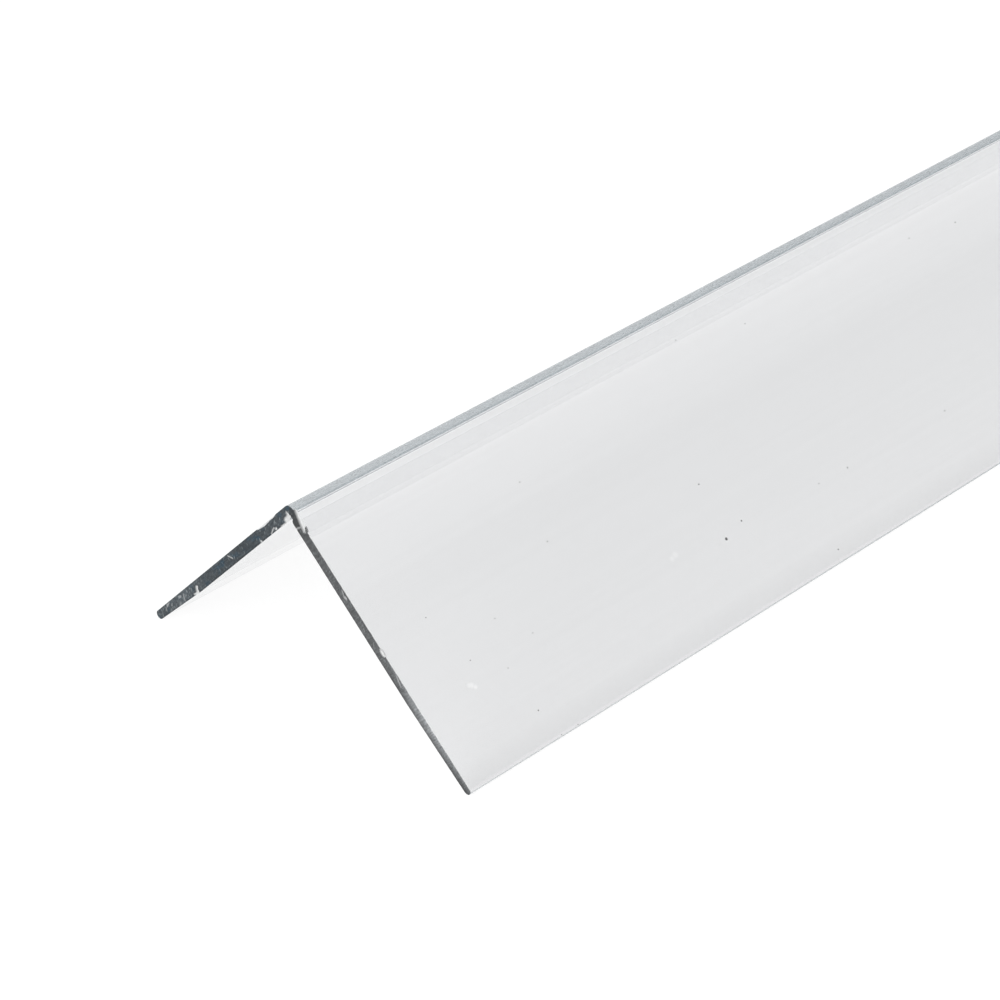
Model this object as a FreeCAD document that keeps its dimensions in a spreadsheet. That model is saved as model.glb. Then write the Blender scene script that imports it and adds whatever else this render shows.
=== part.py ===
# Corner guard moulding: one length of extruded clear plastic angle, sawn square at both ends.
# It stands like a tent, with the corner up and the two free edges on the floor.
# Millimetres. X runs along the moulding, Y across it and Z up.
# The origin is on the floor, midway along the moulding and straight under the corner.
import FreeCAD, Part
import enum
import math
import os

import Sketcher

NODE = "corner_guard"

# Each driving dimension: its name in the sheet, its value and what it measures.
SIZES = [
    ("stock_length", 1219.2, "length it is sold in"),
    ("wing_width", 28.6, "outer face of a wing, from the sharp corner to the free edge"),
    ("corner_angle", 90.0, "degrees between the two outer faces"),
    ("wall", 1.15, "wall of a wing, from the corner to the taper"),
    ("taper_width", 9.0, "border along a free edge where the wall thins"),
    ("edge_wall", 0.85, "wall of a wing at its free edge"),
    ("heel_radius", 0.7, "outer round of the corner"),
    ("groove_depth", 0.43, "relief groove, straight up from the sharp throat to its root"),
    ("groove_mouth", 0.45, "relief groove, from the sharp throat down a wing to its rim"),
    ("groove_root", 0.12, "round of the relief groove's root"),
]

# How a sketch rule names the points of a curve, the sketch's own axes and its origin.
PointOf = enum.IntEnum("PointOf", "START END CENTRE")
Axis = enum.IntEnum("Axis", {"LEVEL": -1, "UPRIGHT": -2})
ORIGIN = (Axis.LEVEL, PointOf.START)


def make_sheet(doc):
    """Driving dimensions, one row each."""
    sheet = doc.addObject("Spreadsheet::Sheet", "Sizes")
    for row, (alias, value, meaning) in enumerate(SIZES, start=1):
        sheet.set(f"A{row}", meaning)
        sheet.set(f"B{row}", str(value))
        sheet.setAlias(f"B{row}", alias)
    doc.recompute()
    return sheet


def mirrored(point):
    """The same point on the other wing."""
    return FreeCAD.Vector(-point.x, point.y, 0)


def section_points(sheet):
    """Where the points of the right-hand wing lie: x across the moulding, y up from the floor."""
    half_angle = math.radians(sheet.corner_angle / 2)
    edge_radius = sheet.edge_wall / 2
    down_wing = FreeCAD.Vector(math.sin(half_angle), -math.cos(half_angle), 0)
    outward = FreeCAD.Vector(math.cos(half_angle), math.sin(half_angle), 0)

    def under(point, distance):
        """The point on the upright axis that lies this far from both wings' faces at that corner."""
        return point - FreeCAD.Vector(0, distance / math.sin(half_angle), 0)

    edge_from_corner = down_wing * (sheet.wing_width - edge_radius) - outward * edge_radius
    corner = FreeCAD.Vector(0, edge_radius - edge_from_corner.y, 0)
    edge_centre = corner + edge_from_corner
    taper_from_corner = down_wing * (sheet.wing_width - sheet.taper_width) - outward * sheet.wall
    taper_start = corner + taper_from_corner

    # The tapered face leaves the inner face and touches the round of the free edge.
    to_edge = edge_centre - taper_start
    turn = math.asin(edge_radius / to_edge.Length)
    taper_slope = math.atan2(to_edge.y, to_edge.x) - turn
    off_taper = FreeCAD.Vector(math.sin(taper_slope), -math.cos(taper_slope), 0)

    # A flank of the relief groove leaves the inner face and touches the round of the root.
    throat = under(corner, sheet.wall)
    rim = throat + down_wing * sheet.groove_mouth
    root_centre = throat + FreeCAD.Vector(0, sheet.groove_depth - sheet.groove_root, 0)
    to_root = root_centre - rim
    flank_slope = math.atan2(to_root.y, to_root.x) - math.asin(sheet.groove_root / to_root.Length)
    off_flank = FreeCAD.Vector(math.sin(flank_slope), -math.cos(flank_slope), 0)

    heel_centre = under(corner, sheet.heel_radius)
    return {
        "corner": corner,
        "tip_corner": corner + down_wing * sheet.wing_width,
        "tip": edge_centre + down_wing * edge_radius,
        "heel_centre": heel_centre,
        "heel": heel_centre + outward * sheet.heel_radius,
        "throat": throat,
        "root_centre": root_centre,
        "root": root_centre + off_flank * sheet.groove_root,
        "rim": rim,
        "taper_start": taper_start,
        "edge_centre": edge_centre,
        "inner_edge": edge_centre + off_taper * edge_radius,
        "outer_edge": edge_centre + outward * edge_radius,
    }


def arc(centre, start, end):
    """Arc of a circle, counterclockwise from start to end."""
    normal = FreeCAD.Vector(0, 0, 1)
    first = start - centre
    last = end - centre
    circle = Part.Circle(centre, normal, first.Length)
    first_angle = math.atan2(first.y, first.x)
    last_angle = math.atan2(last.y, last.x)
    if last_angle <= first_angle:
        last_angle += 2 * math.pi
    return Part.ArcOfCircle(circle, first_angle, last_angle)


def draw_section(sheet, sketch):
    """Two wings with a heel outside and a groove inside, each thinning to a full-round free edge."""
    right = section_points(sheet)
    left = {name: mirrored(point) for name, point in right.items()}
    outline = {
        "right_outer": Part.LineSegment(right["outer_edge"], right["heel"]),
        "heel": arc(right["heel_centre"], right["heel"], left["heel"]),
        "left_outer": Part.LineSegment(left["heel"], left["outer_edge"]),
        "left_edge": arc(left["edge_centre"], left["outer_edge"], left["inner_edge"]),
        "left_taper": Part.LineSegment(left["inner_edge"], left["taper_start"]),
        "left_inner": Part.LineSegment(left["taper_start"], left["rim"]),
        "left_flank": Part.LineSegment(left["rim"], left["root"]),
        "root": arc(right["root_centre"], right["root"], left["root"]),
        "right_flank": Part.LineSegment(right["root"], right["rim"]),
        "right_inner": Part.LineSegment(right["rim"], right["taper_start"]),
        "right_taper": Part.LineSegment(right["taper_start"], right["inner_edge"]),
        "right_edge": arc(right["edge_centre"], right["inner_edge"], right["outer_edge"]),
    }
    guides = {
        "width_line": Part.LineSegment(right["corner"], right["tip_corner"]),
        "tip_line": Part.LineSegment(right["tip_corner"], right["tip"]),
        "mouth_line": Part.LineSegment(right["throat"], right["rim"]),
    }
    curve = {name: sketch.addGeometry(shape, False) for name, shape in outline.items()}
    curve.update({name: sketch.addGeometry(shape, True) for name, shape in guides.items()})

    def rule(kind, *items):
        return sketch.addConstraint(Sketcher.Constraint(kind, *items))

    def size(kind, name, formula, value, *items):
        index = rule(kind, *items, value)
        sketch.renameConstraint(index, name)
        sketch.setExpression(f"Constraints.{name}", formula)

    # Every face runs smoothly into the next, apart from the rims of the groove and the start of the taper.
    smooth_joins = [
        ("right_outer", PointOf.END, "heel", PointOf.START),
        ("heel", PointOf.END, "left_outer", PointOf.START),
        ("left_outer", PointOf.END, "left_edge", PointOf.START),
        ("left_edge", PointOf.END, "left_taper", PointOf.START),
        ("left_flank", PointOf.END, "root", PointOf.END),
        ("root", PointOf.START, "right_flank", PointOf.START),
        ("right_taper", PointOf.END, "right_edge", PointOf.START),
        ("right_edge", PointOf.END, "right_outer", PointOf.START),
    ]
    for first, first_point, second, second_point in smooth_joins:
        rule("Tangent", curve[first], first_point, curve[second], second_point)
    corners = [
        ("left_taper", PointOf.END, "left_inner", PointOf.START),
        ("left_inner", PointOf.END, "left_flank", PointOf.START),
        ("right_flank", PointOf.END, "right_inner", PointOf.START),
        ("right_inner", PointOf.END, "right_taper", PointOf.START),
    ]
    for first, first_point, second, second_point in corners:
        rule("Coincident", curve[first], first_point, curve[second], second_point)
    rule("Parallel", curve["right_inner"], curve["right_outer"])

    # The two wings are alike.
    left_edge = (curve["left_edge"], PointOf.CENTRE)
    right_edge = (curve["right_edge"], PointOf.CENTRE)
    left_taper = (curve["left_taper"], PointOf.END)
    right_taper = (curve["right_taper"], PointOf.START)
    left_rim = (curve["left_inner"], PointOf.END)
    right_rim = (curve["right_inner"], PointOf.START)
    rule("PointOnObject", curve["heel"], PointOf.CENTRE, Axis.UPRIGHT)
    rule("PointOnObject", curve["root"], PointOf.CENTRE, Axis.UPRIGHT)
    rule("Symmetric", *left_edge, *right_edge, Axis.UPRIGHT)
    rule("Symmetric", *left_taper, *right_taper, Axis.UPRIGHT)
    rule("Symmetric", *left_rim, *right_rim, Axis.UPRIGHT)
    rule("Equal", curve["left_edge"], curve["right_edge"])

    # Width and angle are measured from the sharp corner, as if the heel had no round.
    rule("PointOnObject", curve["width_line"], PointOf.START, Axis.UPRIGHT)
    rule("Tangent", curve["width_line"], curve["right_outer"])
    rule("Coincident", curve["width_line"], PointOf.END, curve["tip_line"], PointOf.START)
    rule("Perpendicular", curve["tip_line"], curve["width_line"])
    rule("Tangent", curve["tip_line"], PointOf.END, curve["right_edge"])

    # The groove is measured from the sharp throat, as if the inner faces met there.
    rule("PointOnObject", curve["mouth_line"], PointOf.START, Axis.UPRIGHT)
    rule("Coincident", curve["mouth_line"], PointOf.END, *right_rim)
    rule("Parallel", curve["mouth_line"], curve["right_inner"])

    throat = (curve["mouth_line"], PointOf.START)
    root_centre = (curve["root"], PointOf.CENTRE)
    root_rise = sheet.groove_depth - sheet.groove_root
    wall_from = (*right_rim, curve["right_outer"])
    taper_from = (*right_taper, curve["tip_line"])
    edge_radius = sheet.edge_wall / 2
    slope = math.radians(sheet.corner_angle / 2 - 90)
    size("Distance", "width", "Sizes.wing_width", sheet.wing_width, curve["width_line"])
    size("Angle", "slope", "Sizes.corner_angle / 2 - 90", slope, curve["width_line"])
    size("Distance", "wall", "Sizes.wall", sheet.wall, *wall_from)
    size("Distance", "taper", "Sizes.taper_width", sheet.taper_width, *taper_from)
    size("Radius", "edge", "Sizes.edge_wall / 2", edge_radius, curve["right_edge"])
    size("Radius", "heel", "Sizes.heel_radius", sheet.heel_radius, curve["heel"])
    size("Distance", "mouth", "Sizes.groove_mouth", sheet.groove_mouth, curve["mouth_line"])
    size("Radius", "root", "Sizes.groove_root", sheet.groove_root, curve["root"])
    size("DistanceY", "rise", "Sizes.groove_depth - Sizes.groove_root", root_rise, *throat, *root_centre)
    size("DistanceY", "floor", "Sizes.edge_wall / 2", edge_radius, *ORIGIN, *right_edge)


def make_guard(doc, sheet):
    """The whole moulding: its section, drawn across and run along the length."""
    body = doc.addObject("PartDesign::Body", NODE)
    body.Label = NODE
    across = next(plane for plane in body.Origin.OriginFeatures if plane.Role == "YZ_Plane")
    sketch = body.newObject("Sketcher::SketchObject", "Section")
    sketch.AttachmentSupport = [(across, "")]
    sketch.MapMode = "FlatFace"
    draw_section(sheet, sketch)
    doc.recompute()

    pad = body.newObject("PartDesign::Pad", "Extrusion")
    pad.Profile = sketch
    pad.SideType = "Symmetric"
    pad.setExpression("Length", "Sizes.stock_length")
    doc.recompute()
    return body


def check(doc, body):
    """Stop before anything is written if a step failed or the section is loose."""
    for item in doc.Objects:
        if "Invalid" in item.State or "Error" in item.State:
            raise RuntimeError(f"{item.Label} failed: {item.State}")
    if doc.Section.solve() != 0 or not doc.Section.FullyConstrained:
        raise RuntimeError("the section is not held by its dimensions")
    if body.Shape.isNull() or not body.Shape.isValid() or len(body.Shape.Solids) != 1:
        raise RuntimeError("the moulding is not one valid solid")
    # Each curve of the section makes one face and each end one more, unless the section crosses itself.
    section = doc.Section
    curves = [index for index in range(section.GeometryCount) if not section.getConstruction(index)]
    if len(body.Shape.Faces) != len(curves) + 2:
        raise RuntimeError("the section crosses itself")


document = FreeCAD.newDocument("CornerGuard")
sizes = make_sheet(document)
guard = make_guard(document, sizes)
check(document, guard)

os.makedirs("parts", exist_ok=True)
guard.Shape.exportStep(f"parts/{guard.Label}.step")
print(f"{guard.Label}: {guard.Shape.Volume / 1000:.2f} cm3, box {guard.Shape.BoundBox}")
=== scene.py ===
import math
from collections import namedtuple

import bpy
import numpy as np
from mathutils import Matrix, Vector, noise


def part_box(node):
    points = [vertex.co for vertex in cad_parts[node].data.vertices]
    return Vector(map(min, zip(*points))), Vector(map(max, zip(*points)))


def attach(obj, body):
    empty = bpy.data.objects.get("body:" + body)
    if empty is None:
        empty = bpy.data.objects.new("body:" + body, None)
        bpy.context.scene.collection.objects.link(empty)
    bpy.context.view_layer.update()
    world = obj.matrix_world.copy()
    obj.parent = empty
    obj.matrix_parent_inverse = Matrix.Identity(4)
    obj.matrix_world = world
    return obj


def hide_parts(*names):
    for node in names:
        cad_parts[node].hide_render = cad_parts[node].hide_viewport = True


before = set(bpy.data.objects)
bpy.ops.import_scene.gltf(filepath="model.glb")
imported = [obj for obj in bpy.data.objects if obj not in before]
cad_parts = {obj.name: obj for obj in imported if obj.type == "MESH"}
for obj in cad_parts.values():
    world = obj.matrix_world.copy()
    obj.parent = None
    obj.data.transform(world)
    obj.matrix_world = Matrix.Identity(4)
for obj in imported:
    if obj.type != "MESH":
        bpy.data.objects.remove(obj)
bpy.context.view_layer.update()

MM = 0.001
NODE = "corner_guard"

# The section, as the part's source has it. A wing's own axes are used for it:
# down runs along the outer face from the sharp corner, deep runs square under that face.
WALL = 1.15 * MM
TAPER_WIDTH = 9.0 * MM
EDGE_RADIUS = 0.425 * MM
HEEL_RADIUS = 0.7 * MM
GROOVE_DEPTH = 0.43 * MM
GROOVE_MOUTH = 0.45 * MM
GROOVE_ROOT = 0.12 * MM
SLOPE = math.sqrt(0.5)

low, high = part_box(NODE)
NEAR_END = low.x
FAR_END = high.x
WING = (high.y - EDGE_RADIUS) / SLOPE + 2 * EDGE_RADIUS
CORNER_HEIGHT = EDGE_RADIUS + WING * SLOPE

# Which way each wing runs from the corner: the front wing faces the camera.
FRONT = -1
REAR = 1

# How fine the mesh is: steps round each curve, the step along a wing, and steps through the wall,
# which crowd towards the outer face.
ROUND_STEPS = 10
ROOT_STEPS = 5
WING_STEP = 0.06 * MM
WALL_STEPS = 24
WALL_CROWDING = 1.3

# How far the rings of the mesh lie from a sawn end. Relief of the end reaches no further than the first.
RING_DEPTHS = [3.0 * MM, 12.0 * MM, 60.0 * MM, 250.0 * MM]

# The near end is sawn a little off square, along the front wing.
NEAR_LEAN = math.radians(1.22)

# Saw lines run along the rear wing and straight across the front one.
SAW_WIDTH = 0.22 * MM
SAW_LENGTH = 4.0 * MM
SAW_DEPTH = 0.01 * MM

# Marks on the near end, in millimetres: the wing, the outline (down and deep of each point, or of the
# points of a stroke), how far it fades outside that, how deep it is broken in, and how white it is.
Mark = namedtuple("Mark", "side outline reach depth white")
HEEL_SLIVER = [
    (0.1, -0.3), (0.75, 0.0), (1.22, 0.18), (1.6, 0.3), (2.1, 0.46), (2.4, 0.55),
    (2.65, 0.56), (2.9, 0.4), (2.8, 0.27), (2.56, 0.12), (2.3, -0.05), (1.6, -0.3),
]
THROAT_CHIP = [
    (1.04, 0.33), (1.16, 0.34), (1.3, 0.48), (1.39, 0.65), (1.52, 0.69), (1.76, 0.69), (1.93, 0.73),
    (2.14, 0.84), (2.08, 1.0), (2.2, 1.06), (3.0, 1.08), (3.05, 1.3), (0.9, 1.3), (0.95, 0.8),
]
LENS_CHIP = [
    (14.34, 0.25), (14.56, 0.42), (14.91, 0.44), (15.14, 0.3), (15.09, 0.13), (14.69, 0.1), (14.4, 0.12),
]
REAR_CHIP = [
    (20.15, 0.43), (19.83, 0.55), (20.11, 0.84), (20.19, 1.19), (20.7, 1.15), (21.2, 1.0), (21.1, 0.88),
    (20.65, 0.95), (20.51, 0.79),
]
REAR_SLIVER = [
    (2.3, -0.1), (3.4, 0.09), (4.1, 0.08), (4.65, 0.12),
    (5.2, 0.18), (5.65, 0.13), (6.3, 0.09), (6.7, -0.1),
]
NEAR_MARKS = [
    Mark(FRONT, HEEL_SLIVER, 0.03, 0.3, 1.0),
    Mark(FRONT, [(2.09, 1.15), (2.1, 0.78), (2.2, 0.55)], 0.09, 0.04, 0.5),
    Mark(FRONT, [(8.55, 0.28), (8.9, 0.45), (9.12, 0.6)], 0.09, 0.04, 0.5),
    Mark(FRONT, [(9.05, 0.35), (9.3, 0.3), (9.4, 0.5), (9.15, 0.62)], 0.06, 0.03, 0.5),
    Mark(FRONT, [(12.2, 0.6), (12.4, 0.7)], 0.08, 0.02, 0.3),
    Mark(FRONT, [(13.6, 0.45), (13.9, 0.75)], 0.07, 0.02, 0.3),
    Mark(FRONT, LENS_CHIP, 0.03, 0.15, 1.0),
    Mark(FRONT, [(16.93, 0.2), (17.38, 0.38), (17.98, 0.55)], 0.1, 0.04, 0.45),
    Mark(REAR, REAR_SLIVER, 0.03, 0.12, 1.0),
    Mark(REAR, THROAT_CHIP, 0.03, 0.2, 1.0),
    Mark(REAR, [(4.07, 0.81), (4.4, 0.88), (4.89, 1.08)], 0.09, 0.04, 0.7),
    Mark(REAR, [(3.7, 0.9), (4.0, 0.88), (4.05, 1.02), (3.75, 1.05)], 0.06, 0.2, 1.0),
    Mark(REAR, [(6.8, 1.0), (7.0, 0.93), (7.05, 1.1), (6.8, 1.25)], 0.06, 0.15, 0.9),
    Mark(REAR, [(12.79, 0.18), (12.55, 0.4), (12.31, 0.62)], 0.09, 0.05, 0.75),
    Mark(REAR, REAR_CHIP, 0.03, 0.15, 1.0),
    Mark(REAR, [(22.67, 0.3), (22.9, 0.58), (23.05, 0.9)], 0.08, 0.03, 0.5),
    Mark(REAR, [(23.2, 0.25), (23.6, 0.2), (23.65, 0.35), (23.3, 0.4)], 0.08, 0.03, 0.4),
    Mark(REAR, [(25.6, 0.1), (26.1, 0.15), (26.3, 0.3)], 0.08, 0.03, 0.4),
    Mark(REAR, [(25.2, 0.3), (25.5, 0.5)], 0.08, 0.03, 0.35),
    Mark(REAR, [(23.8, 0.75), (24.1, 0.95)], 0.08, 0.03, 0.5),
    Mark(REAR, [(26.5, 0.25), (26.8, 0.5)], 0.08, 0.03, 0.4),
]
FAR_MARKS = [
    Mark(FRONT, [(5.6, -0.1), (6.2, -0.1), (6.4, 0.2), (5.9, 0.3)], 0.05, 0.2, 0.8),
    Mark(FRONT, [(19.2, -0.1), (19.8, -0.1), (19.6, 0.2)], 0.05, 0.15, 0.7),
    Mark(REAR, [(10.2, 1.2), (10.4, 0.9), (10.9, 1.0), (10.9, 1.2)], 0.05, 0.2, 0.8),
]
MARK_GRAIN = 0.16 * MM
MARK_RAGGED = 0.03
NEAR_SEED = 1
FAR_SEED = 2

# Along the outer rim of the front wing the saw has broken out a thin ragged line.
RIM_START = 3.2 * MM
RIM_WIDTH = 0.07 * MM
RIM_FADE = 0.05 * MM
RIM_GRAIN = 0.6 * MM
RIM_RAGGED = 0.6
RIM_DEPTH = 0.06 * MM


def arc(centre, radius, start, end, steps):
    """Points of an arc in a wing's own axes, angles in degrees from down towards deep."""
    angles = np.radians(np.linspace(start, end, steps + 1))
    return np.stack([centre[0] + radius * np.cos(angles), centre[1] + radius * np.sin(angles)], 1)


def half_section():
    """Outer and inner points of one wing in pairs, from the middle of the corner to the free edge."""
    edge_centre = np.array([WING - EDGE_RADIUS, EDGE_RADIUS])
    taper_start = np.array([WING - TAPER_WIDTH, WALL])
    to_edge = edge_centre - taper_start
    taper_slope = math.atan2(to_edge[1], to_edge[0]) + math.asin(EDGE_RADIUS / np.hypot(*to_edge))
    inner_turn = 90 + math.degrees(taper_slope)

    # The relief groove in the throat: the round of its root, then a flank to its rim on the inner face.
    rim = np.array([WALL + GROOVE_MOUTH, WALL])
    root_centre = np.array([WALL, WALL]) - SLOPE * (GROOVE_DEPTH - GROOVE_ROOT)
    to_root = root_centre - rim
    flank_slope = math.atan2(to_root[1], to_root[0]) + math.asin(GROOVE_ROOT / np.hypot(*to_root))
    root = arc(root_centre, GROOVE_ROOT, 225, 450 + math.degrees(flank_slope), ROOT_STEPS)
    flank_share = np.linspace(0, 1, ROUND_STEPS - ROOT_STEPS + 1)[1:, None]
    groove = np.concatenate([root, root[-1] + flank_share * (rim - root[-1])])

    heel = arc((HEEL_RADIUS, HEEL_RADIUS), HEEL_RADIUS, 225, 270, ROUND_STEPS)
    outer_edge = arc(edge_centre, EDGE_RADIUS, -90, 0, ROUND_STEPS)
    inner_edge = arc(edge_centre, EDGE_RADIUS, inner_turn, 0, ROUND_STEPS)

    # The inner face bends where the taper starts, so a pair of points lies there.
    flat = taper_start[0] - rim[0]
    sloped = inner_edge[0][0] - taper_start[0]
    bend = flat / (flat + sloped)
    steps = round((WING - HEEL_RADIUS) / WING_STEP)
    share = np.linspace(0, 1, steps + 1)
    share[np.argmin(abs(share - bend))] = bend
    share = share[1:-1, None]
    outer_face = heel[-1] + share * (outer_edge[0] - heel[-1])
    before_bend = rim + share / bend * (taper_start - rim)
    after_bend = taper_start + (share - bend) / (1 - bend) * (inner_edge[0] - taper_start)
    inner_face = np.where(share <= bend, before_bend, after_bend)
    outer = np.concatenate([heel, outer_face, outer_edge])
    inner = np.concatenate([groove, inner_face, inner_edge])
    return outer, inner


def across(points, side):
    """Points in a wing's own axes as places across and above the floor."""
    down, deep = points[..., 0], points[..., 1]
    height = np.minimum(CORNER_HEIGHT - SLOPE * (down + deep), high.z)
    return np.stack([side * SLOPE * (down - deep), height], -1)


def in_wing(places, side):
    """Places across and above the floor in a wing's own axes: down and deep."""
    sideways = side * places[..., 0]
    below = CORNER_HEIGHT - places[..., 1]
    return SLOPE * (below + sideways), SLOPE * (below - sideways)


def whole_section():
    """Outer and inner points in pairs from the rear free edge over the corner to the front one."""
    outer, inner = half_section()
    pairs = []
    for points in (outer, inner):
        rear = across(points, REAR)[::-1]
        front = across(points, FRONT)[1:]
        pairs.append(np.concatenate([rear, front]))
    return pairs


def grainy(first, second, seed):
    """Smooth noise between about -1 and 1 over two coordinates."""
    values = [noise.noise((a, b, seed)) for a, b in zip(first.tolist(), second.tolist())]
    return np.array(values)


def inside_outline(outline, down, deep):
    """How many millimetres inside an outline each place lies, less than nothing outside it."""
    places = np.column_stack([down, deep]) / MM
    points = np.array(outline)
    gap = np.full(len(places), np.inf)
    inside = np.zeros(len(places), bool)
    for start, end in zip(points, np.roll(points, -1, axis=0)):
        edge = end - start
        offset = places - start
        share = np.clip(offset @ edge / (edge @ edge), 0, 1)
        gap = np.minimum(gap, np.linalg.norm(offset - share[:, None] * edge, axis=1))
        level = (start[1] > places[:, 1]) != (end[1] > places[:, 1])
        crossing = edge[0] * offset[:, 1] / (edge[1] or 1.0)
        inside ^= level & (offset[:, 0] < crossing)
    return np.where(inside, gap, -gap)


def sawn_end(places, lean, marks, seed):
    """How far each place on a sawn end lies inside the end's plane, and how white it is broken."""
    front_down, front_deep = in_wing(places, FRONT)
    rear_down, rear_deep = in_wing(places, REAR)
    lines = grainy(rear_deep / SAW_WIDTH, rear_down / SAW_LENGTH, seed)
    rough = grainy(front_down / MARK_GRAIN, front_deep / MARK_GRAIN, seed)
    depth = np.maximum(front_down, 0) * math.tan(lean) + SAW_DEPTH * (1 + lines)

    rim = RIM_WIDTH * (1 + RIM_RAGGED * grainy(front_down / RIM_GRAIN, 0 * front_down, seed))
    white = np.clip(0.5 + (rim - front_deep) / RIM_FADE, 0, 1) * (front_down > RIM_START)
    depth += RIM_DEPTH * white

    for mark in marks:
        down, deep = (front_down, front_deep) if mark.side == FRONT else (rear_down, rear_deep)
        inside = inside_outline(mark.outline, down, deep) + MARK_RAGGED * rough
        share = np.clip(1 + inside / mark.reach, 0, 1)
        depth += mark.depth * MM * share
        white = np.maximum(white, mark.white * share)
    return depth, white


def guard_mesh():
    """One closed mesh: rings along the length, with a grid of small faces over each sawn end."""
    outer, inner = whole_section()
    last = len(outer) - 1
    ring = np.concatenate([outer, inner[-2:0:-1]])
    ring_size = len(ring)
    ring_through = np.repeat([0.0, 1.0], [len(outer), len(inner) - 2])
    shares = np.linspace(0, 1, WALL_STEPS + 1)[1:-1] ** WALL_CROWDING
    grid = outer[1:-1, None] + shares[:, None] * (inner[1:-1, None] - outer[1:-1, None])
    grid_shape = grid.shape[:2]
    end = np.concatenate([ring, grid.reshape(-1, 2)])
    end_through = np.concatenate([ring_through, np.tile(shares, grid_shape[0])])

    # Each block of the mesh: places along, across and up, how far through the wall, and how white.
    near_depth, near_white = sawn_end(end, NEAR_LEAN, NEAR_MARKS, NEAR_SEED)
    far_depth, far_white = sawn_end(end, 0, FAR_MARKS, FAR_SEED)
    stations = [NEAR_END + depth for depth in RING_DEPTHS]
    stations += [FAR_END - depth for depth in reversed(RING_DEPTHS)]
    blocks = [np.column_stack([NEAR_END + near_depth, end, end_through, near_white])]
    for station in stations:
        along = np.full(ring_size, station)
        blocks.append(np.column_stack([along, ring, ring_through, np.zeros(ring_size)]))
    blocks.append(np.column_stack([FAR_END - far_depth, end, end_through, far_white]))
    starts = np.cumsum([0] + [len(block) for block in blocks[:-1]])
    block_of = np.repeat(np.arange(len(blocks)), [len(block) for block in blocks])
    places, through, broken = np.split(np.concatenate(blocks), [3, 4], axis=1)

    around = np.arange(ring_size)
    onward = (around + 1) % ring_size
    skin = []
    for here, there in zip(starts, starts[1:]):
        skin.append(np.stack([around + here, onward + here, onward + there, around + there], 1))
    skin = np.concatenate(skin)

    # Each end: a row of the grid runs from the outer face to the inner one, and meets the ring there.
    ends = []
    for start, turn in ((starts[0], 1), (starts[-1], -1)):
        rows = np.empty((last + 1, WALL_STEPS + 1), int)
        rows[:, 0] = start + np.arange(last + 1)
        rows[1:-1, -1] = start + ring_size - np.arange(1, last)
        rows[1:-1, 1:-1] = start + ring_size + np.arange(grid.size // 2).reshape(grid_shape)
        rows[0, :] = start
        rows[-1, :] = start + last
        quads = np.stack([rows[:-1, :-1], rows[:-1, 1:], rows[1:, 1:], rows[1:, :-1]], -1).reshape(-1, 4)
        ends.append(quads[:, ::turn])
    faces = np.concatenate([skin] + ends).tolist()

    # At the tips of the free edges the small faces are triangles.
    mesh = bpy.data.meshes.new(NODE + "_look")
    mesh.from_pydata(places.tolist(), [], [list(dict.fromkeys(face)) for face in faces])
    slots = np.zeros(len(faces), np.int32)
    slots[len(skin):] = 1
    mesh.polygons.foreach_set("material_index", slots)
    mesh.polygons.foreach_set("use_smooth", np.ones(len(faces), bool))
    white = mesh.attributes.new("broken", "FLOAT", "POINT")
    white.data.foreach_set("value", broken.astype(np.float32).ravel())

    # Every place as if the wings were laid flat: along from the near end, down from the corner
    # (less than nothing on the front wing), and how far through the wall from the outer face.
    side = np.where(places[:, 1] < 0, FRONT, REAR)
    down = in_wing(places[:, 1:], side)[0]
    flat = np.column_stack([places[:, 0] - NEAR_END, side * down, through])
    laid_flat = mesh.attributes.new("laid_flat", "FLOAT_VECTOR", "POINT")
    laid_flat.data.foreach_set("vector", flat.astype(np.float32).ravel())

    # The rim of a sawn end is sharp, and so are the rims of the groove.
    edges = np.empty(len(mesh.edges) * 2, np.int32)
    mesh.edges.foreach_get("vertices", edges)
    edges = edges.reshape(-1, 2)
    edge_block = block_of[edges]
    edge_place = edges - starts[edge_block]
    on_ring = (edge_place < ring_size).all(1)
    same_block = edge_block[:, 0] == edge_block[:, 1]
    at_end = np.isin(edge_block[:, 0], (0, len(blocks) - 1))
    middle = ring_size - last // 2
    on_groove = (abs(edge_place - middle) == ROUND_STEPS).all(1)
    sharp = on_ring & np.where(same_block, at_end, on_groove)
    mark = mesh.attributes.new("sharp_edge", "BOOLEAN", "EDGE")
    mark.data.foreach_set("value", sharp)
    mesh.validate()
    return mesh


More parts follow.
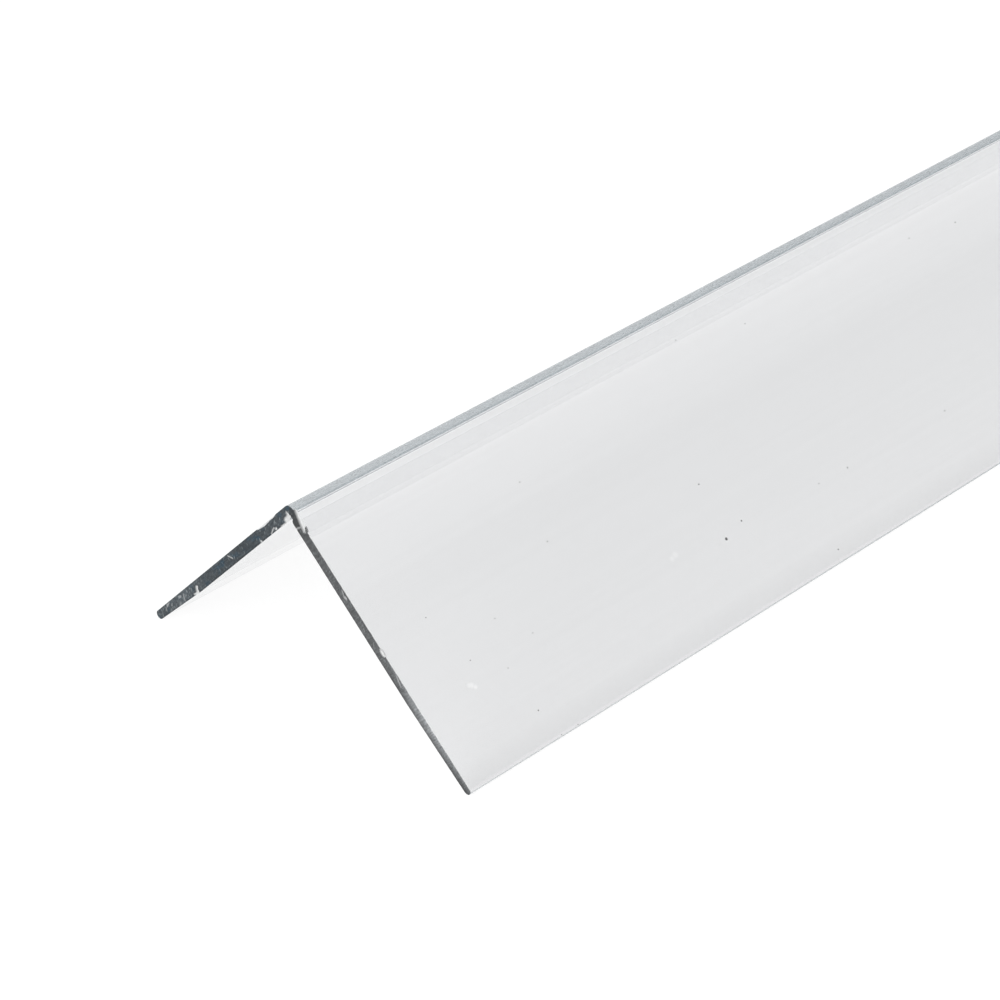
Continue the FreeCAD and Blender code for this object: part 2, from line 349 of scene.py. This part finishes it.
class Nodes:
    """Short ways to add nodes to one material's tree."""

    def __init__(self, name):
        self.material = bpy.data.materials.new(name)
        self.material.use_nodes = True
        self.tree = self.material.node_tree
        self.shader = self.tree.nodes["Principled BSDF"]

    def put(self, value, socket):
        """Feed a socket from another node's output, or set it to a constant."""
        if isinstance(value, bpy.types.NodeSocket):
            self.tree.links.new(value, socket)
        else:
            socket.default_value = value

    def math(self, operation, first, second=0.0, clamp=False):
        node = self.tree.nodes.new("ShaderNodeMath")
        node.operation = operation
        node.use_clamp = clamp
        self.put(first, node.inputs[0])
        self.put(second, node.inputs[1])
        return node.outputs[0]

    def vector(self, operation, first, second):
        node = self.tree.nodes.new("ShaderNodeVectorMath")
        node.operation = operation
        self.put(first, node.inputs[0])
        self.put(second, node.inputs[1])
        return node.outputs["Value" if operation == "DISTANCE" else "Vector"]

    def attribute(self, name, output):
        node = self.tree.nodes.new("ShaderNodeAttribute")
        node.attribute_name = name
        return node.outputs[output]

    def share_of_width(self, down):
        """Place across both wings: 0 at the front free edge, 0.5 at the corner, 1 at the rear one."""
        return self.math("ADD", self.math("DIVIDE", down, 2 * WING), 0.5)

    def split(self, vector):
        node = self.tree.nodes.new("ShaderNodeSeparateXYZ")
        self.put(vector, node.inputs[0])
        return node.outputs

    def noise(self, vector, detail=2.0):
        """Noise between 0 and 1, one bump to each unit of the vector."""
        node = self.tree.nodes.new("ShaderNodeTexNoise")
        node.inputs["Scale"].default_value = 1.0
        node.inputs["Detail"].default_value = detail
        self.put(vector, node.inputs["Vector"])
        return node.outputs["Fac"]

    def ramp(self, factor, stops):
        """Colours at places from 0 to 1."""
        node = self.tree.nodes.new("ShaderNodeValToRGB")
        elements = node.color_ramp.elements
        while len(elements) < len(stops):
            elements.new(1.0)
        for element, (place, colour) in zip(elements, stops):
            element.position = place
            element.color = (*colour, 1)
        self.put(factor, node.inputs[0])
        return node.outputs["Color"]

    def mix(self, factor, first, second, blend="MIX"):
        node = self.tree.nodes.new("ShaderNodeMix")
        node.data_type = "RGBA"
        node.blend_type = blend
        self.put(factor, node.inputs["Factor"])
        self.put(first, node.inputs[6])
        self.put(second, node.inputs[7])
        return node.outputs[2]

    def shade(self, colour, factor, stops, strength=1.0):
        """A colour made darker or lighter by greys at places from 0 to 1."""
        greys = [(place, (lightness,) * 3) for place, lightness in stops]
        return self.mix(strength, colour, self.ramp(factor, greys), "MULTIPLY")

    def bump(self, height, strength, distance):
        node = self.tree.nodes.new("ShaderNodeBump")
        node.inputs["Strength"].default_value = strength
        node.inputs["Distance"].default_value = distance
        self.put(height, node.inputs["Height"])
        self.put(node.outputs["Normal"], self.shader.inputs["Normal"])


# The grey of the clear plastic across the two wings, with painted shade and painted light in it: the
# darker
# # bands stand for shade on the floor under the guard seen through the wings, and the light and dark lines
# # near the corner and the front free edge stand for light caught in the wall. Millimetres from the
# corner,
# # less than nothing on the front wing, and lightness.
TINT_AND_PAINTED_SHADE_STOPS = [
    (-28.6, 1.0),
    (-28.45, 0.9),
    (-28.25, 0.755),
    (-27.7, 0.768),
    (-26.2, 0.8),
    (-24.0, 0.805),
    (-20.0, 0.793),
    (-12.0, 0.783),
    (-10.0, 0.791),
    (-8.0, 0.816),
    (-6.0, 0.834),
    (-4.0, 0.856),
    (-2.6, 0.915),
    (-1.75, 0.92),
    (-1.55, 0.865),
    (-1.2, 0.86),
    (-0.95, 0.88),
    (-0.75, 1.0),
    (0.0, 1.0),
    (1.0, 0.96),
    (3.0, 0.82),
    (6.0, 0.75),
    (10.0, 0.71),
    (26.0, 0.71),
    (28.6, 0.69),
]
TINT_COLOURS = {FRONT: (0.985, 0.99, 1.0), REAR: (0.985, 0.99, 1.0)}

# Clear plastic, and the grey it takes on through a thick piece.
PLASTIC_IOR = 1.53
PLASTIC_ROUGHNESS = 0.03
THICK_COLOUR = (0.765, 0.792, 0.804, 1)
THICK_DENSITY = 50.0

# Faint lines from the die: bumps to the metre along and across, and how grey they are.
DIE_GRAIN = (12.0, 1500.0, 0.0)
DIE_SHADES = [(0.3, 0.99), (0.7, 1.0)]

# Specks of dust on the front wing: along from the near end, down from the corner, and radius,
# in millimetres.
SPECKS = [
    (5.8, 14.0, 0.06),
    (7.4, 19.0, 0.06),
    (10.3, 21.2, 0.055),
    (10.7, 25.6, 0.078),
    (11.5, 28.4, 0.06),
    (11.8, 17.0, 0.055),
    (13.5, 28.4, 0.06),
    (14.4, 19.7, 0.055),
    (20.8, 13.5, 0.065),
    (21.6, 7.8, 0.06),
    (38.0, 21.3, 0.185),
    (38.6, 15.8, 0.083),
    (40.6, 20.6, 0.1),
    (45.2, 3.3, 0.065),
    (48.6, 27.4, 0.085),
    (50.8, 21.3, 0.06),
    (53.4, 5.0, 0.06),
    (54.8, 21.4, 0.08),
    (69.1, 21.5, 0.075),
    (77.2, 5.3, 0.07),
    (83.7, 6.1, 0.08),
]
SPECK_COLOUR = (0.02, 0.02, 0.02, 1)
SPECK_SHARPNESS = 3.0

# Pale scuffs: how strong each one is, and the spots that make it up, given in the same way.
SCUFFS = [
    (0.75, [(6.0, 20.8, 0.3), (6.2, 20.9, 0.34), (6.45, 21.15, 0.27)]),
    (0.35, [(32.05, 20.2, 0.45), (31.55, 20.35, 0.35)]),
]
SCUFF_COLOUR = (1.0, 1.0, 1.0, 1)
SCUFF_SHARPNESS = 1.5


def by_width(tones, colours):
    """Ramp stops from places across the two wings: the front free edge at 0 and the rear one at 1."""
    stops = []
    for place, lightness in tones:
        share = 0.5 + place * MM / (2 * WING)
        colour = colours[FRONT if place < 0 else REAR]
        stops.append((share, tuple(lightness * part for part in colour)))
    return stops


def nearest(nodes, place, spots):
    """How far a place lies inside the nearest of some round spots: 1 in the middle, 0 at the rim."""
    inside = 0.0
    for along, down, radius in spots:
        distance = nodes.vector("DISTANCE", place, (along * MM, FRONT * down * MM, 0))
        share = nodes.math("SUBTRACT", 1.0, nodes.math("DIVIDE", distance, radius * MM))
        inside = nodes.math("MAXIMUM", inside, share)
    return inside


def clear_plastic():
    """Clear, glossy, slightly grey plastic with painted shade and light across the wings, faint drawing
    lines, dust and scuffs.
    """
    nodes = Nodes("clear_plastic")
    shader = nodes.shader
    laid_flat = nodes.attribute("laid_flat", "Vector")
    _, down, through = nodes.split(laid_flat)
    # The grey of the plastic, with painted shade and painted light across the wings.
    colour = nodes.ramp(nodes.share_of_width(down), by_width(TINT_AND_PAINTED_SHADE_STOPS, TINT_COLOURS))
    lines = nodes.noise(nodes.vector("MULTIPLY", laid_flat, DIE_GRAIN))
    colour = nodes.shade(colour, lines, DIE_SHADES)

    # Dust and scuffs lie on the outer face.
    on_face = nodes.vector("MULTIPLY", laid_flat, (1.0, 1.0, 0.0))
    outside = nodes.math("LESS_THAN", through, 0.5)
    for strength, spots in SCUFFS:
        scuff = nodes.math("MULTIPLY", nearest(nodes, on_face, spots), SCUFF_SHARPNESS, clamp=True)
        scuff = nodes.math("MULTIPLY", nodes.math("MULTIPLY", scuff, strength), outside)
        colour = nodes.mix(scuff, colour, SCUFF_COLOUR)
    speck = nodes.math("MULTIPLY", nearest(nodes, on_face, SPECKS), SPECK_SHARPNESS, clamp=True)
    colour = nodes.mix(nodes.math("MULTIPLY", speck, outside), colour, SPECK_COLOUR)
    nodes.put(colour, shader.inputs["Base Color"])
    shader.inputs["Transmission Weight"].default_value = 1.0
    shader.inputs["IOR"].default_value = PLASTIC_IOR
    shader.inputs["Roughness"].default_value = PLASTIC_ROUGHNESS
    absorb = nodes.tree.nodes.new("ShaderNodeVolumeAbsorption")
    absorb.inputs["Color"].default_value = THICK_COLOUR
    absorb.inputs["Density"].default_value = THICK_DENSITY
    nodes.tree.links.new(absorb.outputs["Volume"], nodes.tree.nodes["Material Output"].inputs["Volume"])
    return nodes.material


# Tones of the sawn face across the two wings: its own slate grey with painted light in it, where the
# lighter
# # stretches, most of all low on the front wing, stand for light caught in the clear plastic behind the
# face.
# # Millimetres from the corner, less than nothing on the front wing, and lightness.
SAWN_TONE_AND_PAINTED_LIGHT_STOPS = [
    (-28.6, 0.145),
    (-26.0, 0.21),
    (-22.0, 0.335),
    (-20.0, 0.295),
    (-18.0, 0.2),
    (-14.0, 0.155),
    (-4.0, 0.138),
    (-1.5, 0.072),
    (0.0, 0.068),
    (1.5, 0.1),
    (10.0, 0.078),
    (18.0, 0.09),
    (23.0, 0.135),
    (26.0, 0.097),
    (28.6, 0.1),
]
SAWN_COLOURS = {FRONT: (0.965, 1.0, 1.03), REAR: (0.85, 1.0, 1.11)}
SAWN_ROUGHNESS = 0.5
SAWN_GLOSS = 0.1

# Mottling of the sawn face: bumps to the metre along and across the saw lines, and how grey they are.
LINE_GRAIN = (900.0, 9000.0, 0.0)
LINE_BUMP = 0.4
LINE_HEIGHT = 0.02 * MM
BLOTCH_GRAIN = (2600.0, 4200.0, 0.0)
MOTTLE_DETAIL = 3.0
MOTTLE_SHADES = [(0.25, 0.65), (0.75, 1.35)]

# Bluish patches on the rear wing, where the noise is over a least value.
PATCH_GRAIN = (700.0, 1100.0, 0.0)
PATCH_COLOUR = (0.05, 0.085, 0.115, 1)
PATCH_LEAST = 0.53
PATCH_SHARPNESS = 6.0

# Short scratches, in the same way. They crowd towards the rear free edge.
SCRATCH_GRAIN = (2200.0, 9000.0, 0.0)
SCRATCH_COLOUR = (0.3, 0.33, 0.34, 1)
SCRATCH_SLANT = math.radians(55)
SCRATCH_LEAST = 0.68
SCRATCH_SHARPNESS = 9.0
CROWD_START = 18.0 * MM
CROWD_WIDTH = 4.0 * MM
CROWD_MORE = 0.07

# Greys from the outer face to the inner one: low on the front wing, and at the inner rim.
PALE_START = 15.0 * MM
PALE_WIDTH = 3.0 * MM
PALE_SHADES = [(0.1, 1.4), (0.5, 1.0), (0.85, 0.65)]
RIM_SHADES = [(0.86, 1.0), (0.97, 0.6)]
BROKEN_WHITE = (0.92, 0.93, 0.93, 1)


def sawn_plastic():
    """The rough-sawn end: slate grey with painted light across the wings, saw lines, bluish patches,
    scratches and white chips.
    """
    nodes = Nodes("sawn_plastic")
    shader = nodes.shader
    _, down, through = nodes.split(nodes.attribute("laid_flat", "Vector"))
    # The slate grey of the sawn face, with painted light across the wings.
    colour = nodes.ramp(nodes.share_of_width(down), by_width(SAWN_TONE_AND_PAINTED_LIGHT_STOPS, SAWN_COLOURS))

    # Places on the end, turned so that the first runs along the saw lines and the second across them.
    _, y, z = nodes.split(nodes.tree.nodes.new("ShaderNodeTexCoord").outputs["Object"])
    turned = nodes.tree.nodes.new("ShaderNodeCombineXYZ")
    nodes.put(nodes.math("MULTIPLY", nodes.math("SUBTRACT", y, z), SLOPE), turned.inputs[0])
    nodes.put(nodes.math("MULTIPLY", nodes.math("ADD", y, z), SLOPE), turned.inputs[1])
    turned = turned.outputs[0]

    patch = nodes.noise(nodes.vector("MULTIPLY", turned, PATCH_GRAIN))
    patch = nodes.math("SUBTRACT", patch, PATCH_LEAST)
    patch = nodes.math("MULTIPLY", patch, PATCH_SHARPNESS, clamp=True)
    patch = nodes.math("MULTIPLY", patch, nodes.math("GREATER_THAN", down, 0.0))
    colour = nodes.mix(patch, colour, PATCH_COLOUR)
    lines = nodes.noise(nodes.vector("MULTIPLY", turned, LINE_GRAIN), MOTTLE_DETAIL)
    blotches = nodes.noise(nodes.vector("MULTIPLY", turned, BLOTCH_GRAIN), MOTTLE_DETAIL)
    for mottle in (lines, blotches):
        colour = nodes.shade(colour, mottle, MOTTLE_SHADES)

    # Scratches slant across the saw lines.
    slanted = nodes.tree.nodes.new("ShaderNodeVectorRotate")
    slanted.rotation_type = "Z_AXIS"
    slanted.inputs["Angle"].default_value = SCRATCH_SLANT
    nodes.put(turned, slanted.inputs["Vector"])
    slanted = nodes.vector("MULTIPLY", slanted.outputs["Vector"], SCRATCH_GRAIN)
    crowded = nodes.math("SUBTRACT", down, CROWD_START)
    crowded = nodes.math("DIVIDE", crowded, CROWD_WIDTH, clamp=True)
    least = nodes.math("SUBTRACT", SCRATCH_LEAST, nodes.math("MULTIPLY", crowded, CROWD_MORE))
    scratch = nodes.math("SUBTRACT", nodes.noise(slanted, 0.0), least)
    scratch = nodes.math("MULTIPLY", scratch, SCRATCH_SHARPNESS, clamp=True)
    colour = nodes.mix(scratch, colour, SCRATCH_COLOUR)

    # Low on the front wing the face grows paler from the inner rim to the outer one.
    low_front = nodes.math("SUBTRACT", nodes.math("MULTIPLY", down, FRONT), PALE_START)
    low_front = nodes.math("DIVIDE", low_front, PALE_WIDTH, clamp=True)
    colour = nodes.shade(colour, through, PALE_SHADES, low_front)

    # The inner rim is a darker line.
    colour = nodes.shade(colour, through, RIM_SHADES)
    colour = nodes.mix(nodes.attribute("broken", "Fac"), colour, BROKEN_WHITE)
    nodes.put(colour, shader.inputs["Base Color"])
    shader.inputs["Roughness"].default_value = SAWN_ROUGHNESS
    shader.inputs["Specular IOR Level"].default_value = SAWN_GLOSS
    nodes.bump(lines, LINE_BUMP, LINE_HEIGHT)
    return nodes.material


def make_guard():
    guard = bpy.data.objects.new(NODE + "_look", guard_mesh())
    bpy.context.scene.collection.objects.link(guard)
    guard.data.materials.append(clear_plastic())
    guard.data.materials.append(sawn_plastic())
    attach(guard, "root")
    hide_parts(NODE)


# The floor and the light.
FLOOR_SIZE = 30.0
FLOOR_COLOUR = (0.2, 0.2, 0.2, 1)
FLOOR_LIFT = 0.885
SKY_LIGHT = 0.6

# Soft lamps that face an end: name, where that end is, place from it in metres, width and power.
LAMPS = [
    ("softbox_above", NEAR_END, (0.0, 0.0, 2.2), 2.5, 10.0),
    ("softbox_near", NEAR_END, (-1.4, -0.3, 0.7), 1.0, 13.0),
    ("softbox_far", FAR_END, (1.4, 0.3, 0.7), 1.0, 13.0),
]


def seen_ray(tree):
    """One for a ray from the camera, a reflection or a view through clear plastic, otherwise nothing."""
    path = tree.nodes.new("ShaderNodeLightPath")
    total = None
    for name in ("Is Camera Ray", "Is Glossy Ray", "Is Transmission Ray"):
        if total is None:
            total = path.outputs[name]
            continue
        largest = tree.nodes.new("ShaderNodeMath")
        largest.operation = "MAXIMUM"
        tree.links.new(total, largest.inputs[0])
        tree.links.new(path.outputs[name], largest.inputs[1])
        total = largest.outputs[0]
    return total


def make_floor():
    """A pale floor that reads as white and keeps the guard's shadow."""
    half = FLOOR_SIZE / 2
    corners = [(-half, -half, 0), (half, -half, 0), (half, half, 0), (-half, half, 0)]
    mesh = bpy.data.meshes.new("floor")
    mesh.from_pydata(corners, [], [(0, 1, 2, 3)])
    floor = bpy.data.objects.new("floor", mesh)
    bpy.context.scene.collection.objects.link(floor)
    nodes = Nodes("white_floor")
    shader = nodes.shader
    shader.inputs["Base Color"].default_value = FLOOR_COLOUR
    shader.inputs["Roughness"].default_value = 1.0
    shader.inputs["Specular IOR Level"].default_value = 0.0
    shader.inputs["Emission Color"].default_value = (1, 1, 1, 1)
    nodes.put(nodes.math("MULTIPLY", seen_ray(nodes.tree), FLOOR_LIFT), shader.inputs["Emission Strength"])
    mesh.materials.append(nodes.material)


def light_studio():
    """Even light from all round, white where it is seen, and soft lamps overhead and at both ends."""
    world = bpy.data.worlds.new("studio")
    world.use_nodes = True
    tree = world.node_tree
    sky = tree.nodes["Background"]
    sky.inputs["Color"].default_value = (1, 1, 1, 1)
    level = tree.nodes.new("ShaderNodeMapRange")
    level.inputs["To Min"].default_value = SKY_LIGHT
    level.inputs["To Max"].default_value = 1.0
    tree.links.new(seen_ray(tree), level.inputs["Value"])
    tree.links.new(level.outputs["Result"], sky.inputs["Strength"])
    bpy.context.scene.world = world

    for name, end, from_end, size, power in LAMPS:
        lamp = bpy.data.lights.new(name, "AREA")
        lamp.shape = "SQUARE"
        lamp.size = size
        lamp.energy = power
        softbox = bpy.data.objects.new(name, lamp)
        softbox.location = Vector((end, 0, 0)) + Vector(from_end)
        softbox.rotation_euler = (-Vector(from_end)).to_track_quat("-Z", "Y").to_euler()
        softbox.visible_glossy = False
        softbox.visible_transmission = False
        bpy.context.scene.collection.objects.link(softbox)


# Where the camera stands, from the sharp corner of the near end, and how it is turned.
EYE_FROM_CORNER = Vector((-145.87, -178.34, 143.06)) * MM
CAMERA_TURN = math.radians(46.326)
CAMERA_DIP = math.radians(31.994)
CAMERA_ROLL = math.radians(2.134)
CAMERA_LENS = 116.58
CLIP_START = 0.01
CLIP_END = 100.0


def place_camera():
    forward = Vector((
        math.cos(CAMERA_TURN) * math.cos(CAMERA_DIP),
        math.sin(CAMERA_TURN) * math.cos(CAMERA_DIP),
        -math.sin(CAMERA_DIP),
    ))
    level_right = forward.cross(Vector((0, 0, 1))).normalized()
    level_up = level_right.cross(forward)
    right = math.cos(CAMERA_ROLL) * level_right - math.sin(CAMERA_ROLL) * level_up
    up = math.sin(CAMERA_ROLL) * level_right + math.cos(CAMERA_ROLL) * level_up
    camera = bpy.data.objects.new("camera", bpy.data.cameras.new("camera"))
    camera.data.lens = CAMERA_LENS
    camera.data.clip_start = CLIP_START
    camera.data.clip_end = CLIP_END
    eye = Vector((NEAR_END, 0, CORNER_HEIGHT)) + EYE_FROM_CORNER
    turn = Matrix((right, up, -forward)).transposed().to_4x4()
    camera.matrix_world = Matrix.Translation(eye) @ turn
    bpy.context.scene.collection.objects.link(camera)
    bpy.context.scene.camera = camera


make_guard()
make_floor()
light_studio()
place_camera()
bpy.context.scene.view_settings.view_transform = "Standard"

# Light that runs inside the wall is turned back many times before it leaves.
MOST_BOUNCES = 64
bpy.context.scene.cycles.max_bounces = MOST_BOUNCES
bpy.context.scene.cycles.glossy_bounces = MOST_BOUNCES
bpy.context.scene.cycles.transmission_bounces = MOST_BOUNCES
